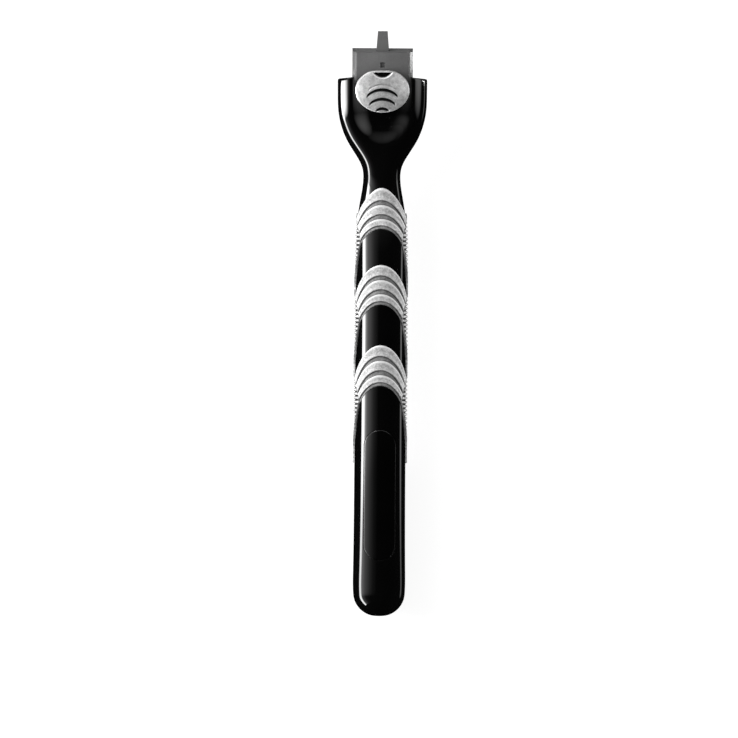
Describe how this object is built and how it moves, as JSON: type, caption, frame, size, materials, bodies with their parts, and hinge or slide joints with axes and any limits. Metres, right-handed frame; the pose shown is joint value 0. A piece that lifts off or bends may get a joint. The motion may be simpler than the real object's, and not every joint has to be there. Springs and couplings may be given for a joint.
{
  "type": "razor handle",
  "caption": "Slender wet-shaving razor handle with a flared yoke, a spring-loaded cartridge tongue, a sliding oval release button and soft ribbed grip bands.",
  "frame": {"origin": "under the middle of the handle's length, on the surface it lies on, back down", "axes": "+Z out of the button side, +Y from the tail to the cartridge end, +X to the right seen from the button side"},
  "size_m": [0.0206, 0.135, 0.0208],
  "materials": {
    "shell_black": "polished black",
    "inlay_black": "polished black",
    "core_metal": "as cast zinc",
    "grip_rubber": "satin light grey",
    "tongue_grey": "matte grey",
    "spring_steel": "drawn wire",
    "slider_black": "matte black",
    "button_silver": "satin silver"
  },
  "bodies": {
    "handle": {"front_shell": "shell_black", "back_shell": "shell_black", "metal_core": "core_metal", "lower_grip_band": "grip_rubber", "middle_grip_band": "grip_rubber", "upper_grip_band": "grip_rubber", "back_grip": "grip_rubber", "inlay_panel": "inlay_black", "cartridge_tongue": "tongue_grey", "spring_plug": "tongue_grey"},
    "button": {"button_slider": "slider_black", "button_cap": "button_silver", "button_spring": "spring_steel"},
    "plunger": {"plunger": "tongue_grey", "plunger_spring": "spring_steel"}
  },
  "joints": [
    {"name": "button_slide", "type": "slide", "parent": "handle", "child": "button", "axis": [0, 0.9703, 0.2419], "range_m": [0, 0.0036], "stiffness_N_per_m": 600, "springref_m": -0.002, "deforming": ["button_spring"]},
    {"name": "plunger_slide", "type": "slide", "parent": "handle", "child": "plunger", "axis": [0, 0.9703, 0.2419], "range_m": [-0.0032, 0], "stiffness_N_per_m": 500, "springref_m": 0.0015, "deforming": ["plunger_spring"]}
  ]
}
